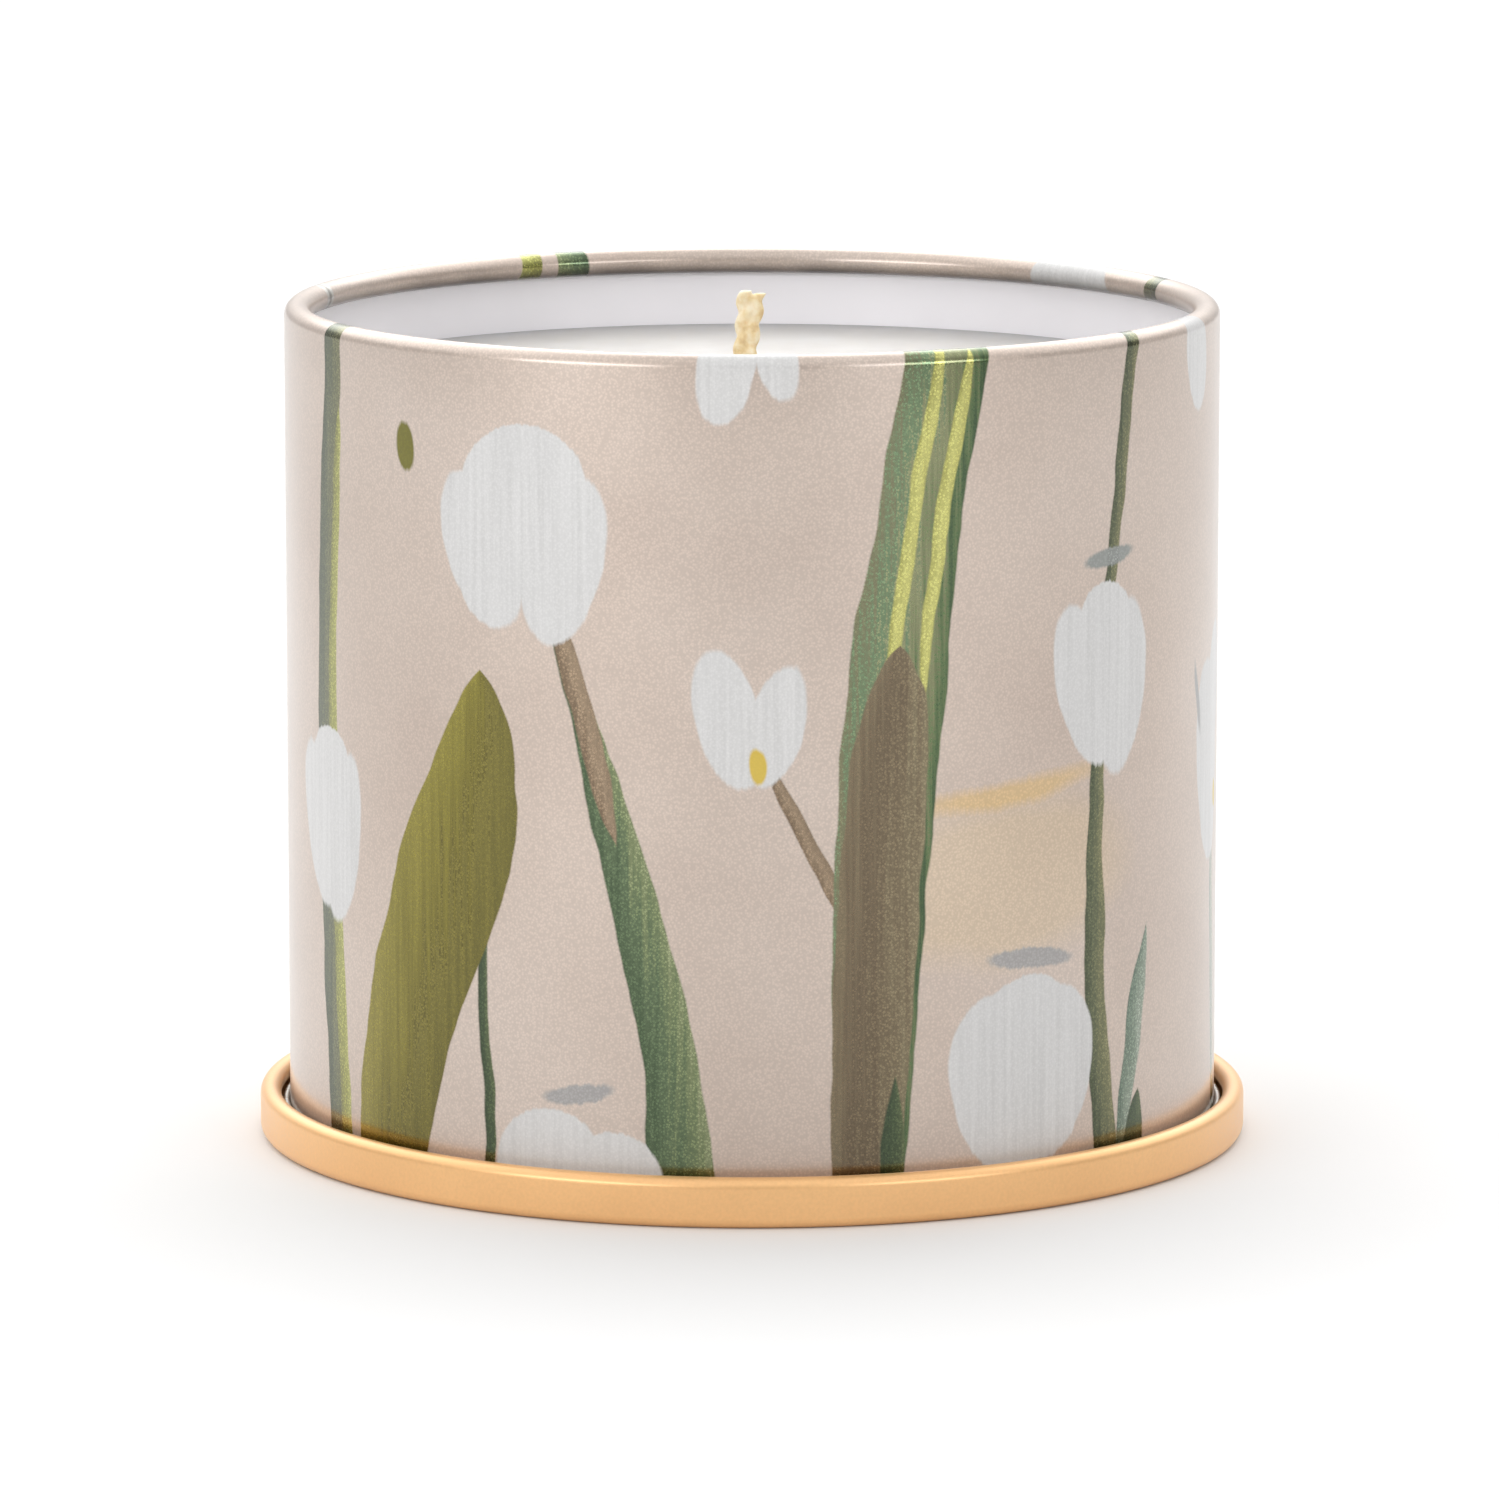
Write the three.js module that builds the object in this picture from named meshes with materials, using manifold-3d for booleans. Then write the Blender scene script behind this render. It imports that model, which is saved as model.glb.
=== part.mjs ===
// Candle tin: poured wax with one wick in a printed three-piece tin, which stands loose
// in its own slip lid, turned over as a tray. Millimetres, +Z up. The tin's axis is Z and
// the lid's foot is at z = 0.

import * as THREE from "three";
import { mergeVertices } from "three/addons/utils/BufferGeometryUtils.js";
import Module from "manifold-3d";

// The tin: a rolled body of thin tinplate with a double-seamed base.
const TIN_RADIUS = 44.45;
const TIN_SHEET = 0.2;
const SEAM_GAP = 0.03;
const RIM_TOP = 80.15;
const RIM_CURL_RADIUS = 1.25;
const RIM_CURL_END = 300;
const FOOT = 0.3;
const SEAM_HEIGHT = 3;
const BODY_HOOK_END = 2.3;
const COVER_HOOK_END = 0.85;
const BASE_RECESS = 3.5;
const BASE_TURN_RADIUS = 0.8;
const BEAD_HEIGHT = 0.6;
const BEAD_SLOPE = 0.8;
const BEAD_OUTER_RADIUS = 38.5;
const BEAD_INNER_RADIUS = 34.2;

// The slip lid, upturned: its top panel is the foot that the whole part stands on.
const LID_RADIUS = 47.3;
const LID_SHEET = 0.25;
const LID_CORNER_RADIUS = 1;
const LID_CURL_RADIUS = 1;
const LID_CURL_END = 290;
const LID_HEIGHT = 4.72;
const LID_FOOT_RADIUS = 40.3;
const LID_PANEL_RADIUS = 39.5;
const LID_PANEL_RISE = 0.5;

// The wax, and the clearance that it keeps to the tin.
const WAX_TOP = 72;
const WAX_GAP = 0.05;
const MENISCUS_RISE = 0.4;
const MENISCUS_WIDTH = 1;

// The wick stands a little off the axis and leans back towards it above the wax.
const WICK_OFFSET = -0.85;
const WICK_TIP = 81;
const WICK_HALF_WIDTH = 1.2;
const WICK_HALF_DEPTH = 0.9;
const WICK_TIP_HALF_WIDTH = 1.55;
const WICK_TIP_HALF_DEPTH = 0.65;
const WICK_LEAN_POWER = 1.15;
const WICK_FLARE_POWER = 2;
const WICK_RINGS = 24;

// The adhesive dot and the tab that hold the wick down, and the hollow round them.
const DOT_RADIUS = 10;
const DOT_THICKNESS = 0.8;
const TAB_RADIUS = 10;
const TAB_SHEET = 0.25;
const TAB_NECK_RADIUS = 1.6;
const TAB_NECK_HEIGHT = 6;
const TAB_FILLET = 0.5;
const REST_GAP = 0.05;
const CAVITY_GAP = 0.3;

// The blank paper label under the base.
const LABEL_RADIUS = 28;
const LABEL_THICKNESS = 0.12;

// The seam's sealing compound.
const COMPOUND_WIDTH = 0.18;
const COMPOUND_HEIGHT = 0.25;

// Every large ring has the same number of sides, so that nested rings stay clear.
const SIDES = 48;
const SMALL_SIDES = 24;
const WICK_SIDES = 12;

// Middle radii of the five layers of the double seam, from the outside inwards.
const LAYER = TIN_SHEET + SEAM_GAP;
const WALL_MIDDLE = TIN_RADIUS - TIN_SHEET / 2;
const COVER_HOOK_MIDDLE = WALL_MIDDLE + LAYER;
const BODY_HOOK_MIDDLE = WALL_MIDDLE + 2 * LAYER;
const SEAM_PANEL_MIDDLE = WALL_MIDDLE + 3 * LAYER;
const CHUCK_WALL_MIDDLE = WALL_MIDDLE - LAYER;

// Heights worked out from the foot of the tin.
const FOLD_CENTRE = FOOT + 2 * LAYER + TIN_SHEET / 2;
const TOP_FOLD_CENTRE = FOOT + SEAM_HEIGHT - LAYER - TIN_SHEET / 2;
const PANEL_MIDDLE = FOOT + BASE_RECESS + TIN_SHEET / 2;
const PANEL_TOP = PANEL_MIDDLE + TIN_SHEET / 2;
const DOT_BOTTOM = PANEL_TOP + REST_GAP;
const TAB_BOTTOM = DOT_BOTTOM + DOT_THICKNESS + REST_GAP;
const TAB_NECK_TOP = TAB_BOTTOM + TAB_NECK_HEIGHT;
const WICK_BOTTOM = TAB_BOTTOM + REST_GAP;
const WICK_HOLE_RADIUS = WICK_HALF_WIDTH + CAVITY_GAP;

const wasm = await Module();
wasm.setup();

// A point of a profile, by its radius and its height.
function at(radius, height) {
  return new THREE.Vector2(radius, height);
}

// Points along an arc in the profile's plane, with its angles in degrees.
function arc(centre, radius, from, to, steps) {
  return Array.from({ length: steps + 1 }, (_, i) => {
    const angle = THREE.MathUtils.degToRad(from + ((to - from) * i) / steps);
    return at(centre.x + radius * Math.cos(angle), centre.y + radius * Math.sin(angle));
  });
}

// The same path moved sideways to its right, with mitred corners.
function offsetPath(path, distance) {
  return path.map((point, i) => {
    const before = path[Math.max(i - 1, 0)];
    const after = path[Math.min(i + 1, path.length - 1)];
    const arriving = point.clone().sub(before).normalize();
    const leaving = after.clone().sub(point).normalize();
    const along = arriving.clone().add(leaving).normalize();
    const side = leaving.lengthSq() > 0 ? leaving : arriving;
    return point.clone().addScaledVector(at(along.y, -along.x), distance / along.dot(side));
  });
}

// The closed outline of sheet metal that follows a path down its middle.
function sheetOutline(middle, thickness) {
  const right = offsetPath(middle, thickness / 2);
  const left = offsetPath(middle, -thickness / 2);
  return [...right, ...left.reverse()];
}

// A profile turned round Z. One that doesn't start on the axis is closed into a ring.
function turned(profile, sides = SIDES) {
  const onAxis = profile[0].x === 0;
  const points = onAxis ? profile : [...profile, profile[0].clone()];
  return new THREE.LatheGeometry(points, sides).rotateX(Math.PI / 2);
}

// A flat disc between two heights.
function disc(radius, bottom, thickness, sides) {
  const top = bottom + thickness;
  return turned([at(0, bottom), at(radius, bottom), at(radius, top), at(0, top)], sides);
}

function toManifold(geometry) {
  const bare = geometry.clone();
  bare.deleteAttribute("normal");
  bare.deleteAttribute("uv");
  const merged = mergeVertices(bare, 1e-4);
  const corners = Array.from(merged.index.array);
  const triVerts = [];
  for (let i = 0; i < corners.length; i += 3) {
    const [a, b, c] = corners.slice(i, i + 3);
    if (a !== b && b !== c && c !== a) triVerts.push(a, b, c);
  }
  const vertProperties = merged.attributes.position.array;
  const mesh = { numProp: 3, vertProperties, triVerts: Uint32Array.from(triVerts) };
  return new wasm.Manifold(new wasm.Mesh(mesh));
}

function fromManifold(solid) {
  const mesh = solid.getMesh();
  const geometry = new THREE.BufferGeometry();
  geometry.setAttribute("position", new THREE.BufferAttribute(mesh.vertProperties, 3));
  geometry.setIndex(new THREE.BufferAttribute(mesh.triVerts, 1));
  geometry.computeVertexNormals();
  return geometry;
}

function part(name, geometry, color, roughness, metalness) {
  const material = new THREE.MeshStandardMaterial({ color, roughness, metalness });
  const mesh = new THREE.Mesh(geometry, material);
  mesh.name = name;
  return mesh;
}

// The lid: recessed panel, flat foot, upright skirt and an inward curl on its edge.
function lid() {
  const skirtMiddle = LID_RADIUS - LID_SHEET / 2;
  const cornerCentre = at(LID_RADIUS - LID_CORNER_RADIUS, LID_CORNER_RADIUS);
  const curlCentre = at(LID_RADIUS - LID_CURL_RADIUS, LID_HEIGHT - LID_CURL_RADIUS);
  const middle = [
    at(0, LID_PANEL_RISE + LID_SHEET / 2),
    at(LID_PANEL_RADIUS, LID_PANEL_RISE + LID_SHEET / 2),
    at(LID_FOOT_RADIUS, LID_SHEET / 2),
    ...arc(cornerCentre, skirtMiddle - cornerCentre.x, -90, 0, 3),
    ...arc(curlCentre, skirtMiddle - curlCentre.x, 0, LID_CURL_END, 9),
  ];
  return part("lid", turned(sheetOutline(middle, LID_SHEET)), 0xe3b57c, 0.38, 0.75);
}

// The body: rolled curl at the rim, straight wall, and the hook that the base grips.
function tinBody() {
  const curlCentre = at(TIN_RADIUS - RIM_CURL_RADIUS, RIM_TOP - RIM_CURL_RADIUS);
  const middle = [
    ...arc(curlCentre, WALL_MIDDLE - curlCentre.x, RIM_CURL_END, 0, 10),
    ...arc(at(COVER_HOOK_MIDDLE, FOLD_CENTRE), LAYER, -180, 0, 4),
    at(BODY_HOOK_MIDDLE, FOOT + BODY_HOOK_END),
  ];
  return part("tin_body", turned(sheetOutline(middle, TIN_SHEET)), 0xcfc0b6, 0.35, 0.5);
}

// Half of the base panel's bead, from the flat on one side up to its top.
function beadSide(flatRadius, topRadius) {
  return [at(flatRadius, PANEL_MIDDLE), at(topRadius, PANEL_MIDDLE + BEAD_HEIGHT)];
}

// The base panel from the axis out to where it turns down, along the sheet's middle.
function basePanel() {
  return [
    at(0, PANEL_MIDDLE),
    ...beadSide(BEAD_INNER_RADIUS, BEAD_INNER_RADIUS + BEAD_SLOPE),
    ...beadSide(BEAD_OUTER_RADIUS, BEAD_OUTER_RADIUS - BEAD_SLOPE).reverse(),
  ];
}

const BASE_TURN_CENTRE = at(CHUCK_WALL_MIDDLE - BASE_TURN_RADIUS, PANEL_MIDDLE - BASE_TURN_RADIUS);

// The base: beaded panel, wall, the fold that it stands on, and the hook inside the seam.
function baseEnd() {
  const middle = [
    ...basePanel(),
    ...arc(BASE_TURN_CENTRE, BASE_TURN_RADIUS, 90, 0, 3),
    ...arc(at(COVER_HOOK_MIDDLE, FOLD_CENTRE), 2 * LAYER, -180, 0, 6),
    ...arc(at(BODY_HOOK_MIDDLE, TOP_FOLD_CENTRE), LAYER, 0, 180, 4),
    at(COVER_HOOK_MIDDLE, FOOT + COVER_HOOK_END),
  ];
  return part("base_end", turned(sheetOutline(middle, TIN_SHEET)), 0xd2d0cc, 0.35, 0.9);
}

// The sealing compound between the end of the body's hook and the fold above it.
function seamCompound() {
  const inner = BODY_HOOK_MIDDLE - COMPOUND_WIDTH / 2;
  const outer = BODY_HOOK_MIDDLE + COMPOUND_WIDTH / 2;
  const bottom = FOOT + BODY_HOOK_END + REST_GAP;
  const top = bottom + COMPOUND_HEIGHT;
  const profile = [at(inner, bottom), at(outer, bottom), at(outer, top), at(inner, top)];
  return part("seam_compound", turned(profile), 0x6f7378, 0.8, 0);
}

// The wax before the wick's hollow is cut out of it.
function waxBlock() {
  const wall = TIN_RADIUS - TIN_SHEET - WAX_GAP;
  const clearance = TIN_SHEET / 2 + WAX_GAP;
  const underside = offsetPath([...basePanel(), at(BASE_TURN_CENTRE.x, PANEL_MIDDLE)], -clearance);
  const turn = arc(BASE_TURN_CENTRE, BASE_TURN_RADIUS + clearance, 90, 25, 2);
  return turned([
    ...underside.slice(0, -1),
    ...turn,
    at(wall, turn.at(-1).y),
    at(wall, WAX_TOP + MENISCUS_RISE),
    at(wall - MENISCUS_WIDTH / 3, WAX_TOP + MENISCUS_RISE / 4),
    at(wall - MENISCUS_WIDTH, WAX_TOP),
    at(0, WAX_TOP),
  ]);
}

// The hollow that the adhesive dot, the tab and the wick fill.
function wickHollow() {
  const below = FOOT;
  const above = WICK_TIP;
  const discTop = TAB_BOTTOM + TAB_SHEET + CAVITY_GAP;
  const neckTop = TAB_NECK_TOP + CAVITY_GAP;
  const hollow = turned(
    [
      at(0, below),
      at(TAB_RADIUS + CAVITY_GAP, below),
      at(TAB_RADIUS + CAVITY_GAP, discTop),
      at(TAB_NECK_RADIUS + TAB_FILLET + CAVITY_GAP, discTop),
      at(TAB_NECK_RADIUS + CAVITY_GAP, discTop + TAB_FILLET),
      at(TAB_NECK_RADIUS + CAVITY_GAP, neckTop),
      at(WICK_HOLE_RADIUS, neckTop),
      at(WICK_HOLE_RADIUS, above),
      at(0, above),
    ],
    SMALL_SIDES,
  );
  return hollow.translate(WICK_OFFSET, 0, 0);
}

function waxFill() {
  const wax = toManifold(waxBlock()).subtract(toManifold(wickHollow()));
  return part("wax_fill", fromManifold(wax), 0xece7df, 0.45, 0);
}

// The wick: an oval braid that flattens and leans above the wax.
function wick() {
  const height = WICK_TIP - WICK_BOTTOM;
  const geometry = new THREE.CylinderGeometry(1, 1, height, WICK_SIDES, WICK_RINGS);
  geometry.rotateX(Math.PI / 2).translate(0, 0, WICK_BOTTOM + height / 2);
  const position = geometry.attributes.position;
  for (let i = 0; i < position.count; i += 1) {
    const z = position.getZ(i);
    const share = Math.max(0, (z - WAX_TOP) / (WICK_TIP - WAX_TOP));
    const flare = share ** WICK_FLARE_POWER;
    const halfWidth = THREE.MathUtils.lerp(WICK_HALF_WIDTH, WICK_TIP_HALF_WIDTH, flare);
    const halfDepth = THREE.MathUtils.lerp(WICK_HALF_DEPTH, WICK_TIP_HALF_DEPTH, flare);
    const middle = WICK_OFFSET * (1 - share ** WICK_LEAN_POWER);
    position.setXYZ(i, middle + halfWidth * position.getX(i), halfDepth * position.getY(i), z);
  }
  geometry.computeVertexNormals();
  return part("wick", geometry, 0xeee0bf, 0.85, 0);
}

// The wick tab: a flat disc drawn up into the neck that grips the wick.
function wickTab() {
  const discMiddle = TAB_BOTTOM + TAB_SHEET / 2;
  const neckMiddle = TAB_NECK_RADIUS - TAB_SHEET / 2;
  const filletCentre = at(neckMiddle + TAB_FILLET, discMiddle + TAB_FILLET);
  const middle = [
    at(TAB_RADIUS, discMiddle),
    ...arc(filletCentre, TAB_FILLET, 270, 180, 3),
    at(neckMiddle, TAB_NECK_TOP),
  ];
  const geometry = turned(sheetOutline(middle, TAB_SHEET), SMALL_SIDES);
  return part("wick_tab", geometry.translate(WICK_OFFSET, 0, 0), 0xb9bcc0, 0.35, 1);
}

// The double-sided adhesive dot under the wick tab.
function wickSticker() {
  const geometry = disc(DOT_RADIUS, DOT_BOTTOM, DOT_THICKNESS, SMALL_SIDES);
  return part("wick_sticker", geometry.translate(WICK_OFFSET, 0, 0), 0xf2f1ec, 0.8, 0);
}

// The blank round paper label on the outside of the base.
function baseLabel() {
  const bottom = FOOT + BASE_RECESS - REST_GAP - LABEL_THICKNESS;
  const geometry = disc(LABEL_RADIUS, bottom, LABEL_THICKNESS, SIDES);
  return part("base_label", geometry, 0xefece4, 0.85, 0);
}

const candle = new THREE.Group();
candle.add(tinBody(), baseEnd(), seamCompound(), waxFill(), wick());
candle.add(wickTab(), wickSticker(), baseLabel());

const candleTin = new THREE.Group();
candleTin.add(lid(), candle);

export default candleTin;
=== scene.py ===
import math
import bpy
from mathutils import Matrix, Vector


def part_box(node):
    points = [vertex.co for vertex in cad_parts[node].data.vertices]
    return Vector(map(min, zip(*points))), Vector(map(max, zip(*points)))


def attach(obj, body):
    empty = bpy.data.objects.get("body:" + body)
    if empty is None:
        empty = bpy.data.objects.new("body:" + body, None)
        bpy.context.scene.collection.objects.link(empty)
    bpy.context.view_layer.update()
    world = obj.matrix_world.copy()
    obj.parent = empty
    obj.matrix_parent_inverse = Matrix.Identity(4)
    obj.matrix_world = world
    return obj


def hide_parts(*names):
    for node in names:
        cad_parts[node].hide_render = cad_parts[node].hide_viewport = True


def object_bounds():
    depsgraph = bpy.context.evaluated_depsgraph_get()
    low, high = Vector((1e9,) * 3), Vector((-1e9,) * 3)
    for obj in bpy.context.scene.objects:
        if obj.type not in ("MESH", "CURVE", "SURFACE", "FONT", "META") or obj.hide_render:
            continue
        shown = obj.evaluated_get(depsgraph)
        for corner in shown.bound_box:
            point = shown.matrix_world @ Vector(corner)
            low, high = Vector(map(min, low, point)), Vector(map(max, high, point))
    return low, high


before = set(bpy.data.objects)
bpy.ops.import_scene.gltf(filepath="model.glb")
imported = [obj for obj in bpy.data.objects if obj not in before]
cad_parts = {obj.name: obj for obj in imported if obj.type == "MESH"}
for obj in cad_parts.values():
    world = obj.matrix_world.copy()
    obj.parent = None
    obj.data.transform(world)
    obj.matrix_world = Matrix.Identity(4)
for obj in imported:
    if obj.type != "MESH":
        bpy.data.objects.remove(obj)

from types import SimpleNamespace

import bpy

# A candle tin: poured wax in a printed tinplate tin, standing in its upturned lid.
# Lengths below are millimetres until a shape is made, where MM turns them into metres.
MM = 0.001
CAD_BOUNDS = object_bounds()

# Smoothness of the round pieces.
ROUND_SIDES = 256
SMALL_SIDES = 64
SMOOTH_ANGLE = math.radians(40)

# Steps along the curls, folds and corners of the sheets.
RIM_CURL_STEPS = 30
LID_CURL_STEPS = 26
OUTER_FOLD_STEPS = 16
TOP_FOLD_STEPS = 10
CORNER_STEPS = 8
WALL_STEPS = 12

# A pressed sheet is flat within this radius of its middle.
FLAT_MIDDLE_RADIUS = 8

# Tinplate of the tin and the layers of its double seam, from the outside inwards.
TIN_SHEET = 0.2
LAYER = 0.23
SEAM_HEIGHT = 3
BODY_HOOK_LENGTH = 1.74
COVER_HOOK_END = 0.85
BASE_RECESS = 3.5
BASE_TURN_RADIUS = 0.8
BEAD_HEIGHT = 0.6
BEAD_RADII = (34.2, 35, 37.7, 38.5)
RIM_CURL_RADIUS = 1.25
RIM_CURL_END = 300

# Tinplate of the lid.
LID_SHEET = 0.25
LID_EDGE_RADIUS = 1
LID_CURL_END = 290
LID_FOOT_RADIUS = 40.3
LID_PANEL_RADIUS = 39.5
LID_PANEL_RISE = 0.5
LID_STEP_EASE = 0.3
LID_STEP_ROUNDING = 0.06

# Sealing compound: its ring has this many sides in section.
COMPOUND_SIDES = 8

# Wax: it climbs the wall and the wick a little, and sinks a little between them.
MENISCUS_RISE = 0.2
MENISCUS_WIDTH = 2
WAX_DISH = 0.15
WICK_CLIMB = 0.7
CLIMB_RADIUS = 3
MENISCUS_STEPS = 8
SURFACE_STEPS = 13
CLIMB_STEPS = 8

# The wax is cast round the tab. Its hollow opens to the wick a little above the neck.
WAX_GAP = 0.05
MOUTH_RADIUS = 1
MOUTH_RISE = 0.2

# Steel tab: a disc with a neck that is crimped round the wick.
TAB_SHEET = 0.25
TAB_NECK_RADIUS = 1.475
TAB_FILLET = 0.5
TAB_FILLET_STEPS = 6
TAB_CRIMP_DEPTH = 0.12
TAB_CRIMP_FOOT = 2
TAB_CRIMP_SLOPE = 1

# Wick: three strands plaited and soaked in wax, which lean and spread above the wax.
STRANDS = 3
PLAIT_PITCH = 6.8
STRAND_RADIUS = 0.64
PLAIT_HALF_WIDTH = 0.64
PLAIT_HALF_DEPTH = 0.28
TIP_HALF_WIDTH = 0.92
TIP_HALF_DEPTH = 0.15
STRAND_SIDES = 10
STRAND_STEP = 0.5
STRAND_ENDS = (0.05, 0.35, 0.6)
WICK_LEAN_POWER = 1.15
WAX_FILM_VOXEL = 0.14
WAX_FILM_PASSES = 24

# The printed sheet is laid out flat: across from its side seam, and up from the foot.
SEAM_ANGLE = math.radians(-105)
PRINT_LEFT = -85
PRINT_SPAN = 285
PRINT_TOP = 86
WIDEST_BRUSH = 9
PAINT_EDGE = 0.22
BRUSH_WANDER = 1.5
PETAL_RAGGEDNESS = 0.7

# Where the painted shade under the curl starts, and where that dark colour hides the print fully.
CURL_PAINTED_SHADE = (82.4, 84)

# The same for the unprinted strip at the side seam and its weld, by the distance to the seam.
SEAM_STRIP = (1.1, 1)
SEAM_WELD = (0.4, 0.25)

# Depth of the grain on the bare ground, on the plants and in the opaque whites.
GROUND_GRAIN = 0.095
PLANT_GRAIN = 0.19
WHITE_GRAIN = 0.025


def box_mm(node):
    """Lowest and highest corner of a CAD node, in millimetres."""
    low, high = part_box(node)
    return low / MM, high / MM


LID_BOX = box_mm("lid")
BODY_BOX = box_mm("tin_body")
BASE_BOX = box_mm("base_end")
WAX_BOX = box_mm("wax_fill")
WICK_BOX = box_mm("wick")
TAB_BOX = box_mm("wick_tab")
DOT_BOX = box_mm("wick_sticker")
COMPOUND_BOX = box_mm("seam_compound")

WALL_OUTER = BODY_BOX[1].x - 2 * LAYER
WALL_MIDDLE = WALL_OUTER - TIN_SHEET / 2
HALF_GIRTH = math.pi * WALL_OUTER
SEAM_OPPOSITE = SEAM_ANGLE * WALL_OUTER + HALF_GIRTH
WAX_TOP = WAX_BOX[1].z - MENISCUS_RISE
TAB_MIDDLE = (TAB_BOX[0].x + TAB_BOX[1].x) / 2


# ---------------------------------------------------------------- modelling


def arc(centre, radius, start, end, steps):
    """Points (radius, height) along an arc, with its angles in degrees."""
    points = []
    for step in range(steps + 1):
        angle = math.radians(start + (end - start) * step / steps)
        points.append((centre[0] + radius * math.cos(angle), centre[1] + radius * math.sin(angle)))
    return points


def clear_selection():
    bpy.ops.object.select_all(action="DESELECT")


def edit(piece):
    """Opens a piece for editing with all of it selected, as edges."""
    clear_selection()
    piece.select_set(True)
    bpy.context.view_layer.objects.active = piece
    bpy.ops.object.mode_set(mode="EDIT")
    bpy.ops.mesh.select_mode(type="EDGE")
    bpy.ops.mesh.select_all(action="SELECT")


def add_circle(name, radius, height, middle, sides, fill):
    """A circle at its size and place, with that place kept in its mesh."""
    clear_selection()
    place = (middle * MM, 0, height * MM)
    bpy.ops.mesh.primitive_circle_add(
        vertices=sides, radius=radius * MM, fill_type=fill, location=place
    )
    piece = bpy.context.object
    piece.name = name
    piece.data.name = name
    bpy.ops.object.transform_apply(location=True, rotation=True, scale=True)
    return piece


def draw_out(name, rings, sides=ROUND_SIDES, middle=0, closed_start=False):
    """A round shell drawn out ring after ring, as a spinner draws out sheet metal.
    A ring is (radius, height), or (radius, height, middle) where its centre moves across."""
    rings = [ring if len(ring) == 3 else (*ring, middle) for ring in rings]
    radius, height, centre = rings[0]
    fill = "TRIFAN" if closed_start else "NOTHING"
    piece = add_circle(name, radius, height, centre, sides, fill)
    edit(piece)
    if closed_start:
        bpy.ops.mesh.region_to_loop()
    for next_radius, next_height, next_centre in rings[1:]:
        step = ((next_centre - centre) * MM, 0, (next_height - height) * MM)
        bpy.ops.mesh.extrude_edges_move(TRANSFORM_OT_translate={"value": step})
        scale = next_radius / radius
        pivot = (next_centre * MM, 0, next_height * MM)
        bpy.ops.transform.resize(value=(scale, scale, 1), center_override=pivot)
        radius, height, centre = next_radius, next_height, next_centre
    return piece


def close_centre():
    """Draws the last ring in to one point."""
    bpy.ops.mesh.extrude_edges_move()
    bpy.ops.mesh.merge(type="CENTER")


def close_loop():
    """Joins the last ring to the first, which makes the shell a closed ring."""
    bpy.ops.mesh.select_all(action="DESELECT")
    bpy.ops.mesh.select_non_manifold(extend=False)
    bpy.ops.mesh.bridge_edge_loops()


def point_outwards():
    """Turns every face outwards and leaves edit mode."""
    bpy.ops.mesh.select_all(action="SELECT")
    bpy.ops.mesh.normals_make_consistent(inside=False)
    bpy.ops.object.mode_set(mode="OBJECT")


def smooth(piece):
    clear_selection()
    piece.select_set(True)
    bpy.context.view_layer.objects.active = piece
    bpy.ops.object.shade_smooth_by_angle(angle=SMOOTH_ANGLE)


def apply_modifier(piece, kind, **settings):
    """Adds one modifier to a piece and applies it."""
    clear_selection()
    piece.select_set(True)
    bpy.context.view_layer.objects.active = piece
    modifier = piece.modifiers.new(kind.lower(), kind)
    for name, value in settings.items():
        setattr(modifier, name, value)
    bpy.ops.object.modifier_apply(modifier=modifier.name)


def thicken(piece, thickness):
    """Gives a shell its sheet thickness, half to each side. Its inner side and cut edges take
    the piece's second material, if it has one."""
    apply_modifier(
        piece,
        "SOLIDIFY",
        thickness=thickness * MM,
        offset=0,
        use_even_offset=True,
        material_offset=1,
        material_offset_rim=1,
    )
    smooth(piece)


def stand_for(piece, node, body):
    """Puts a finished piece in the place of its CAD node."""
    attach(piece, body)
    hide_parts(node)


def lay_out_print(piece, rings):
    """Unrolls a round shell into the flat sheet that was printed, in millimetres."""
    lengths = [0]
    for before, after in zip(rings, rings[1:]):
        lengths.append(lengths[-1] + math.dist(before, after))
    wall_foot = min(range(len(rings)), key=lambda i: abs(rings[i][1] - BASE_BOX[0].z - SEAM_HEIGHT))
    ups = [rings[wall_foot][1] + lengths[wall_foot] - length for length in lengths]
    ring_ups = {}
    for vertex in piece.data.vertices:
        place = (math.hypot(vertex.co.x, vertex.co.y) / MM, vertex.co.z / MM)
        nearest = min(range(len(rings)), key=lambda i: math.dist(rings[i], place))
        ring_ups[vertex.index] = ups[nearest]
    layer = piece.data.uv_layers.new(name="print")
    for face in piece.data.polygons:
        face_angle = math.atan2(face.center.x, -face.center.y)
        turns = math.floor((face_angle - SEAM_ANGLE) / math.tau)
        for loop in face.loop_indices:
            vertex = piece.data.vertices[piece.data.loops[loop].vertex_index]
            angle = math.atan2(vertex.co.x, -vertex.co.y)
            angle += math.tau * round((face_angle - angle) / math.tau) - math.tau * turns
            layer.data[loop].uv = (angle * WALL_OUTER, ring_ups[vertex.index])


# ---------------------------------------------------------------- materials


def paint(code):
    """A colour such as "d9a066", from sRGB to linear, with full alpha."""
    channels = [int(code[i : i + 2], 16) / 255 for i in (0, 2, 4)]
    linear = [c / 12.92 if c <= 0.04045 else ((c + 0.055) / 1.055) ** 2.4 for c in channels]
    return (*linear, 1)


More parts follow.
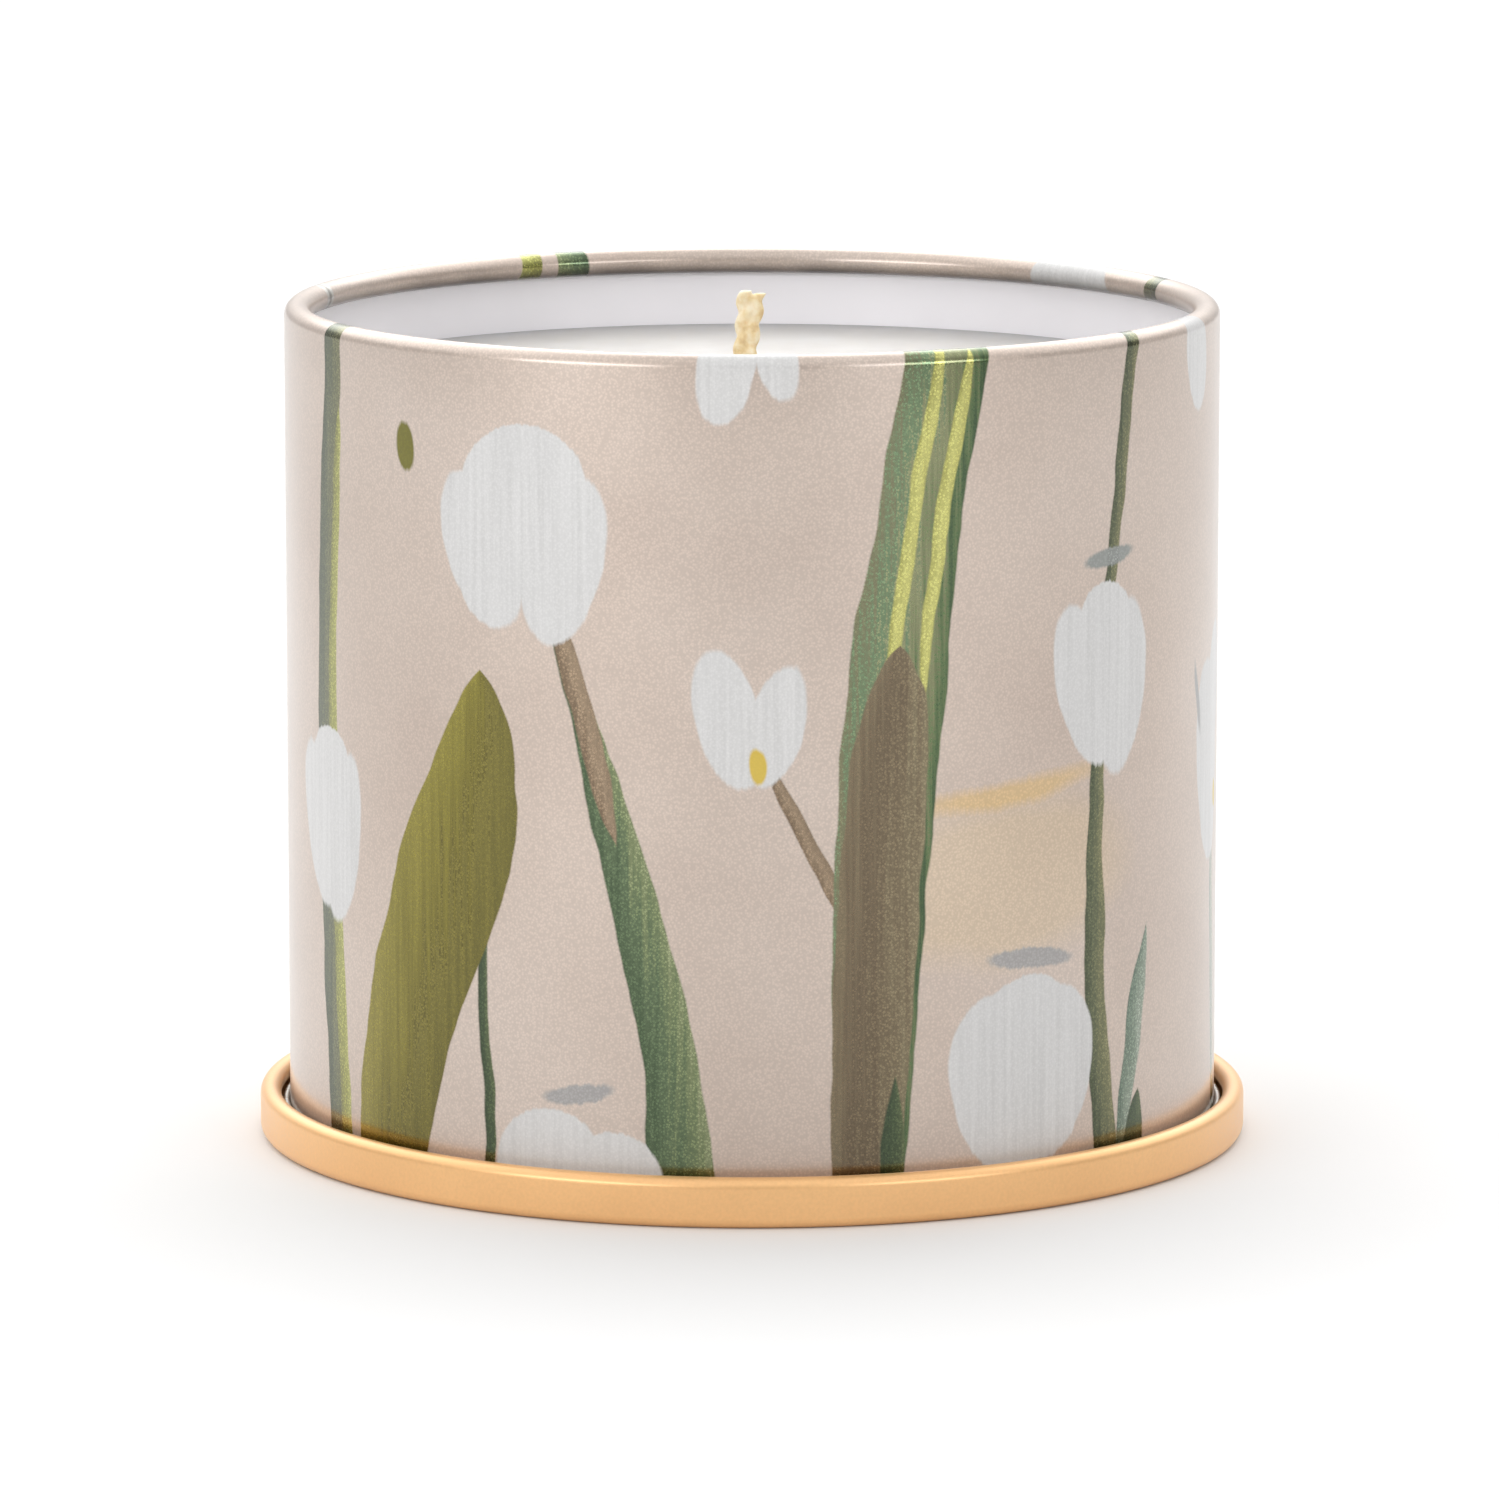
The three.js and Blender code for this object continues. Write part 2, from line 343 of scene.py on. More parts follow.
def add_node(tree, kind, inputs=None, curve=None, stops=None, **settings):
    """Adds a node with its settings, its values and its links. curve is the points of a Float
    Curve, and stops the places and colours of a Color Ramp."""
    made = tree.nodes.new("ShaderNode" + kind)
    for name, value in settings.items():
        setattr(made, name, value)
    for key, value in (inputs or {}).items():
        if isinstance(value, bpy.types.Node):
            value = next(output for output in value.outputs if output.enabled)
        if isinstance(value, bpy.types.NodeSocket):
            tree.links.new(value, made.inputs[key])
        else:
            made.inputs[key].default_value = value
    if curve:
        points = made.mapping.curves[0].points
        while len(points) < len(curve):
            points.new(0.5, 0.5)
        for point, place in zip(points, curve):
            point.location = place
            point.handle_type = "AUTO_CLAMPED"
        made.mapping.update()
    if stops:
        elements = made.color_ramp.elements
        while len(elements) < len(stops):
            elements.new(1)
        for element, (place, code) in zip(elements, stops):
            element.position = place
            element.color = paint(code)
    return made


def new_material(name, values):
    """A material with one Principled shader set to these values."""
    material = bpy.data.materials.new(name)
    material.use_nodes = True
    tree = material.node_tree
    tree.nodes.clear()
    shader = add_node(tree, "BsdfPrincipled", values)
    output = add_node(tree, "OutputMaterial")
    tree.links.new(shader.outputs[0], output.inputs["Surface"])
    return material, tree, shader


def finish_shader(tree, shader, inputs):
    """Links finished patterns to the shader's sockets."""
    for name, value in inputs.items():
        if isinstance(value, bpy.types.Node):
            value = next(output for output in value.outputs if output.enabled)
        tree.links.new(value, shader.inputs[name])


# Tones of the printed plants, from the left edge of a brush stroke to its right edge.
STEM_TONES = [(0, "434c33"), (0.35, "5c6146"), (0.65, "6f704f"), (1, "7f7d5a")]
LIGHT_STREAK_TONES = [(0, "86854a"), (0.5, "9f9f56"), (1, "adad68")]
LEAF_TONES = [
    (0, "7b7a5c"),
    (0.25, "6b8462"),
    (0.45, "888a66"),
    (0.65, "747a57"),
    (0.8, "5a6e47"),
    (1, "3b5034"),
]
YELLOW_STREAK_TONES = [(0, "a8a65c"), (0.5, "c1bf72"), (1, "b0ad64")]
BROWN_TONES = [(0, "7d6f56"), (0.3, "6a5b46"), (0.6, "766850"), (1, "84795e")]
DARK_FOOT_TONES = [(0, "3c4a33"), (0.5, "47553a"), (1, "5f6a48")]
OLIVE_LEAF_TONES = [
    (0, "90863a"),
    (0.3, "827930"),
    (0.47, "776e2a"),
    (0.51, "5d551e"),
    (0.55, "7b7232"),
    (1, "686129"),
]
GREEN_STEM_TONES = [(0, "485a3e"), (0.4, "5d6e4f"), (0.75, "78835c"), (1, "8b926d")]
TWIG_TONES = [(0, "7a6650"), (0.5, "97826a"), (1, "83705a")]
GREY_BLADE_TONES = [(0, "5f7061"), (0.5, "7d8b7a"), (1, "97a091")]

# Brush strokes, in the order in which they are painted. A spine is (height, across), and a
# brush's half width is (height, half width), which ends a stroke where it goes below 0.
STROKES = [
    # front left: slender stem with a light edge
    dict(spine=[(0, -46.5), (42, -49.5), (86, -47)], half=[(0, 2.1), (86, 1.55)], tones=STEM_TONES),
    dict(
        spine=[(0, -45.2), (42, -48), (74, -46.4)],
        half=[(0, 0.95), (50, 0.75), (70, 0.5), (75, -1)],
        tones=LIGHT_STREAK_TONES,
    ),
    # front left: thin stem behind a broad olive leaf
    dict(spine=[(0, -25.4), (30, -26.6)], half=[(0, 0.6), (27, 0.45), (31, -1)], tones=DARK_FOOT_TONES),
    dict(
        spine=[(0, -39), (15, -36), (31, -30.4), (44, -27), (51, -26.4)],
        half=[(0, 4.4), (15, 6), (30, 6.7), (41, 4.8), (47.5, 2.2), (51, -1)],
        tones=OLIVE_LEAF_TONES,
    ),
    # front centre: stem slanting to the left and its twig
    dict(
        spine=[(0, -6), (18, -8.2), (36, -12.6), (50, -17), (60, -20.4)],
        half=[(0, 3.2), (18, 2.5), (34, 2.1), (48, 1.1), (58, 0.5), (62, -1)],
        tones=GREEN_STEM_TONES,
    ),
    dict(
        spine=[(34, -12.2), (50, -16.8), (60, -20.2)],
        half=[(32, -1), (40, 0.9), (48, 1.1), (58, 0.5), (62, -1)],
        tones=TWIG_TONES,
    ),
    # front right: broad stem, streaked above and brown below, with a twig to the left
    dict(
        spine=[(28, 9), (36, 4.6), (44, 0.6)],
        half=[(27, -1), (30, 0.9), (40, 0.6), (45, 0.2), (47, -1)],
        tones=TWIG_TONES,
    ),
    dict(
        spine=[(0, 10.6), (40, 12.6), (64, 15.4), (86, 19.6)],
        half=[(0, 3.2), (46, 4.8), (66, 4.2), (86, 4.5)],
        tones=LEAF_TONES,
    ),
    dict(
        spine=[(44, 12.2), (64, 14.6), (86, 18.6)],
        half=[(43, -1), (50, 0.5), (72, 0.7), (84, 0.35)],
        tones=YELLOW_STREAK_TONES,
    ),
    dict(
        spine=[(40, 14.8), (64, 17.6), (86, 22)],
        half=[(40, -1), (52, 0.45), (68, 0.75), (79, 0.4), (82, -1)],
        tones=YELLOW_STREAK_TONES,
    ),
    dict(
        spine=[(0, 10.2), (30, 11.8), (52, 13.6)],
        half=[(0, 3), (30, 4), (44, 3.6), (51, 1.6), (54, -1)],
        tones=BROWN_TONES,
    ),
    dict(
        spine=[(0, 13), (14, 13.2)],
        half=[(0, 1.3), (7, 1), (12, 0.3), (15, -1)],
        tones=DARK_FOOT_TONES,
    ),
    # front right: long thin stem with two blades at its foot
    dict(
        spine=[(0, 37.6), (24, 35.4), (52, 36.8), (86, 41.6)],
        half=[(0, 1.6), (27, 1.2), (50, 0.75), (70, 0.85), (86, 0.95)],
        tones=STEM_TONES,
    ),
    dict(
        spine=[(0, 38.6), (26, 43.4)],
        half=[(0, 0.6), (6, 1), (16, 1.3), (23, 0.4), (27, -1)],
        tones=GREY_BLADE_TONES,
    ),
    dict(
        spine=[(0, 40.4), (9, 42.2)],
        half=[(0, 2), (6, 1.2), (10, -1)],
        tones=DARK_FOOT_TONES,
    ),
    # right side and back
    dict(
        spine=[(0, 63.5), (20, 61.6), (34, 60.6)],
        half=[(0, 1), (26, 0.8), (36, -1)],
        tones=GREEN_STEM_TONES,
    ),
    dict(
        spine=[(0, 82), (34, 79), (60, 84), (86, 88.5)],
        half=[(0, 2), (34, 1.6), (86, 1.3)],
        tones=STEM_TONES,
    ),
    dict(
        spine=[(0, 92.5), (16, 97), (34, 104), (47, 111)],
        half=[(0, 4), (16, 5.4), (34, 4.6), (44, 2), (48, -1)],
        tones=OLIVE_LEAF_TONES,
    ),
    dict(
        spine=[(0, 126), (40, 128), (74, 124)],
        half=[(0, 3.4), (40, 4.4), (66, 2.8), (76, -1)],
        tones=LEAF_TONES,
    ),
    dict(
        spine=[(0, 125), (36, 126.5), (50, 127)],
        half=[(0, 2.6), (36, 2.8), (52, -1)],
        tones=BROWN_TONES,
    ),
    dict(
        spine=[(0, 168), (45, 162.5), (86, 158.5)],
        half=[(0, 2.4), (45, 2), (86, 1.7)],
        tones=GREEN_STEM_TONES,
    ),
    dict(
        spine=[(0, 160), (45, 162), (86, 164)],
        half=[(0, 1), (45, 1.1), (86, 1.2)],
        tones=LIGHT_STREAK_TONES,
    ),
    dict(
        spine=[(0, 186), (24, 181), (52, 174)],
        half=[(0, 2.4), (24, 1.8), (46, 0.8), (54, -1)],
        tones=TWIG_TONES,
    ),
]

# Blossoms, each of a few drooping petals: (across, up, half width, half height, tilt).
BLOSSOMS = [
    [(-22, 66.6, 7, 7, 0), (-26.4, 61.6, 4.2, 7.8, 22), (-17.8, 61.2, 4.2, 8.2, -14)],
    [(-51.4, 33.4, 3.5, 8.2, 18), (-46, 32.6, 3.4, 8.6, -10), (-48.8, 39, 4.2, 4, 0)],
    [(24.2, 12, 5.6, 8.8, 12), (30, 12.6, 5.2, 8.2, -12), (27.2, 17.4, 5.4, 4.6, 0)],
    [(-19.4, 5.6, 5.6, 4.8, 8), (-12.6, 4.6, 4.8, 4, -12)],
    [(-2.2, 47, 3.1, 7, 14), (2.2, 46.4, 2.6, 6.2, -14)],
    [(34, 48.4, 3.6, 8.4, 18), (39.4, 47.8, 3.4, 8.6, -10), (36.8, 54, 4.2, 4, 0)],
    [(59, 38, 4.6, 10, 5), (62.2, 44.6, 3.3, 6.6, -10)],
    [(-2.4, 79.6, 3, 5.6, -10), (2.2, 81, 2.2, 5, 14)],
    [(54, 77, 3, 5.4, 10)],
    [(84, 63, 6.8, 7.4, -6), (79.4, 58, 4, 7.4, 26), (87.4, 57.6, 3.9, 7.8, -14)],
    [(102.6, 84, 6, 5, 0)],
    [(114, 53, 4, 7.6, 24), (108, 50, 3.6, 7, -16), (111, 56.4, 4, 4, 0)],
    [(124, 76, 3.2, 5.4, 12), (129, 74, 2.6, 4.8, -18)],
    [(142, 29, 6.6, 8, -10), (147, 31, 5.2, 7.4, 16)],
    [(171, 57, 4, 8, 26), (177, 54, 3.6, 7.4, -12), (174, 60.6, 4, 3.6, 0)],
    [(112, 6, 6.4, 4.6, 10), (119, 5, 4.6, 4, -12)],
    [(188, 33, 4.2, 9, 6)],
]

# A wash under the plants and its dry edge, each (across, up, half width, half height, tilt).
OCHRE_WASH = (25, 31, 17, 9, 6)
OCHRE_EDGE = (25, 39.4, 15, 1.5, 6)

# Small marks over the rest: (across, up, half width, half height, tilt) and a colour.
MARKS = [
    ((27.4, 23.4, 5.6, 1.05, -5), "a19e9c"),
    ((-16.4, 11.8, 3.8, 0.95, 8), "a19e9c"),
    ((37.2, 60, 3.8, 0.95, 6), "8e918d"),
    ((54.8, 44.4, 0.6, 4.2, 14), "9b9a99"),
    ((-35.6, 70.4, 1.25, 2.5, 8), "6f6a18"),
    ((0.4, 42.6, 0.95, 1.9, 2), "c4a83c"),
    ((62.6, 34, 0.9, 1.6, 10), "cbb25a"),
    ((96, 70, 0.9, 2, 12), "7a7730"),
    ((146, 24, 0.7, 1.8, -6), "c4ad4c"),
    ((151, 68, 1, 1.9, 6), "7a7730"),
    ((142, 38.6, 5.2, 0.7, -6), "aaa8a6"),
]


def paint_stroke(tree, sheet, under, stroke):
    """One brush stroke over what is painted so far. Gives the new colour and the stroke's own
    cover."""
    spine = [(up / PRINT_TOP, (across - PRINT_LEFT) / PRINT_SPAN) for up, across in stroke["spine"]]
    half = [(up / PRINT_TOP, (width + 1) / (WIDEST_BRUSH + 1)) for up, width in stroke["half"]]
    middle = add_node(tree, "FloatCurve", {"Value": sheet.up_share}, curve=spine)
    middle = add_node(tree, "Math", {0: middle, 1: PRINT_SPAN, 2: PRINT_LEFT}, operation="MULTIPLY_ADD")
    width = add_node(tree, "FloatCurve", {"Value": sheet.up_share}, curve=half)
    width = add_node(tree, "Math", {0: width, 1: WIDEST_BRUSH + 1, 2: -1}, operation="MULTIPLY_ADD")
    aside = add_node(tree, "Math", {0: sheet.across, 1: middle}, operation="SUBTRACT")
    away = add_node(tree, "Math", {0: aside}, operation="ABSOLUTE")
    past = add_node(tree, "Math", {0: away, 1: width}, operation="SUBTRACT")
    cover = add_node(tree, "MapRange", {0: past, 1: -0.08, 2: 0.12, 3: 1, 4: 0})
    side = add_node(tree, "Math", {0: aside, 1: width}, operation="DIVIDE")
    tone = add_node(tree, "Math", {0: side, 1: 0.42, 2: sheet.bristles}, operation="MULTIPLY_ADD")
    tone = add_node(tree, "ValToRGB", {"Fac": tone}, stops=stroke["tones"])
    over = add_node(tree, "Mix", {0: cover, 6: under, 7: tone}, data_type="RGBA")
    return over, cover


def petal(tree, place, across, up, half_width, half_height, tilt, edge=PAINT_EDGE):
    """How much of a point one petal or dab covers."""
    turned = add_node(
        tree,
        "Mapping",
        {
            "Vector": place,
            "Location": (across, up, 0),
            "Rotation": (0, 0, math.radians(tilt)),
            "Scale": (half_width, half_height, 1),
        },
        vector_type="TEXTURE",
    )
    inside = add_node(tree, "TexGradient", {"Vector": turned}, gradient_type="SPHERICAL")
    softness = edge / min(half_width, half_height)
    return add_node(tree, "MapRange", {0: inside.outputs["Fac"], 1: 0, 2: softness})


def set_out_sheet(tree):
    """Places on the flat printed sheet, in millimetres, and the marks of the brush."""
    flat = add_node(tree, "UVMap", uv_map="print")
    wander = add_node(
        tree, "TexNoise", {"Vector": flat, "Scale": 0.1, "Detail": 2, "Roughness": 0.5}
    ).outputs["Color"]
    wander = add_node(tree, "VectorMath", {0: wander, 1: (0.5, 0.5, 0.5)}, operation="SUBTRACT")
    wander = add_node(tree, "VectorMath", {0: wander, "Scale": BRUSH_WANDER}, operation="SCALE")
    place = add_node(tree, "VectorMath", {0: flat, 1: wander}, operation="ADD")
    parts = add_node(tree, "SeparateXYZ", {0: place})
    up_share = add_node(tree, "Math", {0: parts.outputs["Y"], 1: PRINT_TOP}, operation="DIVIDE")
    # Bristles leave lines about 0.5 mm apart that run up the sheet.
    lines = add_node(tree, "Mapping", {"Vector": flat, "Scale": (1.9, 0.05, 1)})
    lines = add_node(tree, "TexNoise", {"Vector": lines, "Scale": 1, "Detail": 3, "Roughness": 0.6})
    # Printing grain: light specks drawn 0.25 mm apart, where the real screen is a little finer.
    grain = add_node(tree, "TexVoronoi", {"Vector": flat, "Scale": 4, "Randomness": 0.9})
    grain = add_node(tree, "MapRange", {0: grain.outputs["Distance"], 1: 0.15, 2: 0.65, 3: 1, 4: -1})
    centred = add_node(tree, "MapRange", {0: lines, 1: 0.25, 2: 0.75, 3: 0.2, 4: 0.8})
    bristles = add_node(tree, "Math", {0: grain, 1: 0.1, 2: centred}, operation="MULTIPLY_ADD")
    # A loaded brush starts and lifts off unevenly, so the ends of petals are ragged.
    ragged = add_node(tree, "Math", {0: centred, 1: PETAL_RAGGEDNESS}, operation="MULTIPLY")
    ragged = add_node(tree, "CombineXYZ", {"Y": ragged})
    dab_place = add_node(tree, "VectorMath", {0: place, 1: ragged}, operation="ADD")
    return SimpleNamespace(
        flat=flat,
        across=parts.outputs["X"],
        up=parts.outputs["Y"],
        up_share=up_share,
        grain=grain,
        bristles=bristles,
        dab_place=dab_place,
    )


def printed_varnished_tinplate():
    """Tinplate printed in translucent inks under clear varnish: the beige and the greens let
    the metal shine through with a fine grain, the whites are opaque, and the varnish gives
    the whole a clear reflection."""
    material, tree, shader = new_material(
        "printed_varnished_tinplate", values={"Coat Weight": 0.55, "Coat Roughness": 0.14}
    )
    sheet = set_out_sheet(tree)
    # ground: pinkish beige in broad, faintly uneven washes
    wash = add_node(tree, "TexNoise", {"Vector": sheet.flat, "Scale": 0.035, "Detail": 4})
    wash_stops = [(0.3, "bdaca0"), (0.5, "c5b5a9"), (0.7, "cbbcb1")]
    color = add_node(tree, "ValToRGB", {"Fac": wash}, stops=wash_stops)
    # ochre wash on the right of the front, with a darker dry edge above it
    ochre = petal(tree, sheet.dab_place, *OCHRE_WASH, edge=3)
    ochre = add_node(tree, "Math", {0: ochre, 1: 0.34}, operation="MULTIPLY")
    color = add_node(tree, "Mix", {0: ochre, 6: color, 7: paint("cfb586")}, data_type="RGBA")
    edge = petal(tree, sheet.dab_place, *OCHRE_EDGE, edge=0.9)
    edge = add_node(tree, "Math", {0: edge, 1: 0.6}, operation="MULTIPLY")
    color = add_node(tree, "Mix", {0: edge, 6: color, 7: paint("d2ae6a")}, data_type="RGBA")
    plants = None
    for stroke in STROKES:
        color, cover = paint_stroke(tree, sheet, color, stroke)
        plants = cover if plants is None else add_node(
            tree, "Math", {0: plants, 1: cover}, operation="MAXIMUM"
        )
    # blossoms: opaque white with faint grey brush lines
    white = add_node(
        tree, "ValToRGB", {"Fac": sheet.bristles}, stops=[(0.2, "bfbebd"), (0.5, "c7c6c5"), (0.9, "cfcecd")]
    )
    opaque = None
    for petals in BLOSSOMS:
        cover = None
        for shape in petals:
            dab = petal(tree, sheet.dab_place, *shape)
            cover = dab if cover is None else add_node(
                tree, "Math", {0: cover, 1: dab}, operation="MAXIMUM"
            )
        color = add_node(tree, "Mix", {0: cover, 6: color, 7: white}, data_type="RGBA")
        opaque = cover if opaque is None else add_node(
            tree, "Math", {0: opaque, 1: cover}, operation="MAXIMUM"
        )
    for shape, code in MARKS:
        dab = petal(tree, sheet.dab_place, *shape)
        color = add_node(tree, "Mix", {0: dab, 6: color, 7: paint(code)}, data_type="RGBA")
    # the side seam is welded after printing, along a narrow unprinted strip
    from_seam = add_node(tree, "SeparateXYZ", {0: sheet.flat}).outputs["X"]
    from_seam = add_node(tree, "Math", {0: from_seam, 1: SEAM_OPPOSITE}, operation="SUBTRACT")
    from_seam = add_node(tree, "Math", {0: from_seam}, operation="ABSOLUTE")
    start, full = (HALF_GIRTH - distance for distance in SEAM_STRIP)
    strip = add_node(tree, "MapRange", {0: from_seam, 1: start, 2: full})
    color = add_node(tree, "Mix", {0: strip, 6: color, 7: paint("d2cfc9")}, data_type="RGBA")
    start, full = (HALF_GIRTH - distance for distance in SEAM_WELD)
    weld = add_node(tree, "MapRange", {0: from_seam, 1: start, 2: full})
    color = add_node(tree, "Mix", {0: weld, 6: color, 7: paint("a5a29b")}, data_type="RGBA")
    # grain of the screen and of the metal under the ink, weaker in the opaque whites
    depth = add_node(tree, "MapRange", {0: plants, 3: GROUND_GRAIN, 4: PLANT_GRAIN})
    depth = add_node(tree, "Mix", {0: opaque, 2: depth, 3: WHITE_GRAIN})
    speckle = add_node(tree, "Math", {0: sheet.grain, 1: depth, 2: 1}, operation="MULTIPLY_ADD")
    color = add_node(tree, "VectorMath", {0: color, "Scale": speckle}, operation="SCALE")
    # painted shade: the print fades to a dark colour where the sheet's edge is curled under, in place of
    # the shade there
    start, full = CURL_PAINTED_SHADE
    curl_shade = add_node(tree, "MapRange", {0: sheet.up, 1: start, 2: full})
    color = add_node(tree, "Mix", {0: curl_shade, 6: color, 7: paint("4a4542")}, data_type="RGBA")
    metal = add_node(tree, "MapRange", {0: plants, 3: 0.5, 4: 0.9})
    metal = add_node(tree, "Mix", {0: opaque, 2: metal, 3: 0.03})
    metal = add_node(tree, "Math", {0: metal, 1: strip}, operation="MAXIMUM")
    rough = add_node(tree, "MapRange", {0: plants, 3: 0.38, 4: 0.26})
    rough = add_node(tree, "Mix", {0: opaque, 2: rough, 3: 0.5})
    rough = add_node(tree, "Math", {0: sheet.grain, 1: 0.03, 2: rough}, operation="MULTIPLY_ADD")
    # the sheet is a little uneven from rolling and seaming
    waves = add_node(tree, "TexNoise", {"Vector": sheet.flat, "Scale": 0.05, "Detail": 1})
    relief = add_node(tree, "Bump", {"Height": waves, "Strength": 0.25, "Distance": 0.25 * MM})
    finish_shader(
        tree,
        shader,
        {
            "Base Color": color,
            "Metallic": metal,
            "Roughness": rough,
            "Normal": relief,
            "Coat Normal": relief,
        },
    )
    return material


def white_stoved_enamel():
    """White enamel stoved onto the inside of the tinplate: smooth, glossy, faintly lilac."""
    material, tree, shader = new_material(
        "white_stoved_enamel", values={"Coat Weight": 0.4, "Coat Roughness": 0.12}
    )
    place = add_node(tree, "TexCoord").outputs["Object"]
    cloud = add_node(tree, "TexNoise", {"Vector": place, "Scale": 60, "Detail": 3})
    color = add_node(tree, "ValToRGB", {"Fac": cloud}, stops=[(0.3, "f3f1f5"), (0.7, "f8f6fa")])
    rough = add_node(tree, "MapRange", {0: cloud, 3: 0.26, 4: 0.36})
    # orange peel, about 1 mm across
    peel = add_node(tree, "TexNoise", {"Vector": place, "Scale": 1000, "Detail": 1})
    relief = add_node(tree, "Bump", {"Height": peel, "Strength": 0.1, "Distance": 0.02 * MM})
    finish_shader(tree, shader, {"Base Color": color, "Roughness": rough, "Normal": relief})
    return material


def gold_lacquered_tinplate():
    """Tinplate under peach-gold stoving lacquer: a satin, slightly metallic skin that shows
    soft highlights along the curl."""
    material, tree, shader = new_material(
        "gold_lacquered_tinplate", values={"Coat Weight": 0.25, "Coat Roughness": 0.25}
    )
    place = add_node(tree, "TexCoord").outputs["Object"]
    cloud = add_node(tree, "TexNoise", {"Vector": place, "Scale": 45, "Detail": 4})
    color = add_node(tree, "ValToRGB", {"Fac": cloud}, stops=[(0.3, "e8b57b"), (0.7, "f1bf84")])
    # pigment flakes, drawn at 0.3 mm
    flakes = add_node(tree, "TexNoise", {"Vector": place, "Scale": 3200, "Detail": 1})
    sparkle = add_node(tree, "MapRange", {0: flakes, 1: 0.3, 2: 0.7, 3: 0.97, 4: 1.03})
    color = add_node(tree, "VectorMath", {0: color, "Scale": sparkle}, operation="SCALE")
    metal = add_node(tree, "MapRange", {0: cloud, 3: 0.4, 4: 0.5})
    rough = add_node(tree, "MapRange", {0: flakes, 1: 0.3, 2: 0.7, 3: 0.34, 4: 0.42})
    relief = add_node(tree, "Bump", {"Height": flakes, "Strength": 0.15, "Distance": 0.01 * MM})
    finish_shader(
        tree, shader, {"Base Color": color, "Metallic": metal, "Roughness": rough, "Normal": relief}
    )
    return material


def bright_tinplate(name="bright_tinplate", low="a3a19b", high="b9b6b0"):
    """Bare electrolytic tinplate: a bright grey metal with fine rolling lines across it."""
    material, tree, shader = new_material(name, values={"Metallic": 0.95})
    place = add_node(tree, "TexCoord").outputs["Object"]
    # rolling lines, drawn 0.4 mm apart
    lines = add_node(tree, "Mapping", {"Vector": place, "Scale": (60, 2500, 2500)})
    lines = add_node(tree, "TexNoise", {"Vector": lines, "Scale": 1, "Detail": 3})
    color = add_node(tree, "ValToRGB", {"Fac": lines}, stops=[(0.3, low), (0.7, high)])
    rough = add_node(tree, "MapRange", {0: lines, 1: 0.3, 2: 0.7, 3: 0.25, 4: 0.4})
    relief = add_node(tree, "Bump", {"Height": lines, "Strength": 0.2, "Distance": 0.01 * MM})
    finish_shader(tree, shader, {"Base Color": color, "Roughness": rough, "Normal": relief})
    return material


def poured_soy_wax():
    """Soy wax set in the tin: creamy white, soft and translucent, faintly mottled where it
    cooled unevenly, with a dull sheen."""
    material, tree, shader = new_material(
        "poured_soy_wax",
        values={
            "Subsurface Weight": 0.55,
            "Subsurface Radius": (1, 0.85, 0.65),
            "Subsurface Scale": 3 * MM,
            "IOR": 1.44,
            "Coat Weight": 0.05,
            "Coat Roughness": 0.3,
        },
    )
    place = add_node(tree, "TexCoord").outputs["Object"]
    mottle = add_node(tree, "TexNoise", {"Vector": place, "Scale": 160, "Detail": 8, "Roughness": 0.72})
    color = add_node(
        tree, "ValToRGB", {"Fac": mottle}, stops=[(0.3, "c2bfba"), (0.5, "c9c6c2"), (0.7, "cfcdca")]
    )
    rough = add_node(tree, "MapRange", {0: mottle, 1: 0.3, 2: 0.7, 3: 0.38, 4: 0.52})
    # shallow ripples about 4 mm across, with fine frosting on them
    ripples = add_node(tree, "TexNoise", {"Vector": place, "Scale": 240, "Detail": 6, "Roughness": 0.7})
    relief = add_node(tree, "Bump", {"Height": ripples, "Strength": 0.35, "Distance": 0.12 * MM})
    finish_shader(tree, shader, {"Base Color": color, "Roughness": rough, "Normal": relief})
    return material


def waxed_plaited_cotton():
    """Plaited cotton dipped in wax: cream yarn under a thin film that is whiter where it is
    thick, with the fibres just showing."""
    material, tree, shader = new_material(
        "waxed_plaited_cotton",
        values={
            "Subsurface Weight": 0.3,
            "Subsurface Radius": (1, 0.8, 0.5),
            "Subsurface Scale": 0.6 * MM,
            "Coat Weight": 0.2,
            "Coat Roughness": 0.35,
        },
    )
    place = add_node(tree, "TexCoord").outputs["Object"]
    film = add_node(tree, "TexNoise", {"Vector": place, "Scale": 900, "Detail": 3})
    color = add_node(
        tree, "ValToRGB", {"Fac": film}, stops=[(0.3, "cfb184"), (0.46, "e3cc9c"), (0.66, "efe3c6")]
    )
    # yarn fibres, drawn 0.15 mm apart
    fibres = add_node(tree, "Mapping", {"Vector": place, "Scale": (6500, 6500, 900)})
    fibres = add_node(tree, "TexNoise", {"Vector": fibres, "Scale": 1, "Detail": 2})
    rough = add_node(tree, "MapRange", {0: film, 1: 0.3, 2: 0.7, 3: 0.75, 4: 0.5})
    relief = add_node(tree, "Bump", {"Height": fibres, "Strength": 0.5, "Distance": 0.05 * MM})
    finish_shader(tree, shader, {"Base Color": color, "Roughness": rough, "Normal": relief})
    return material


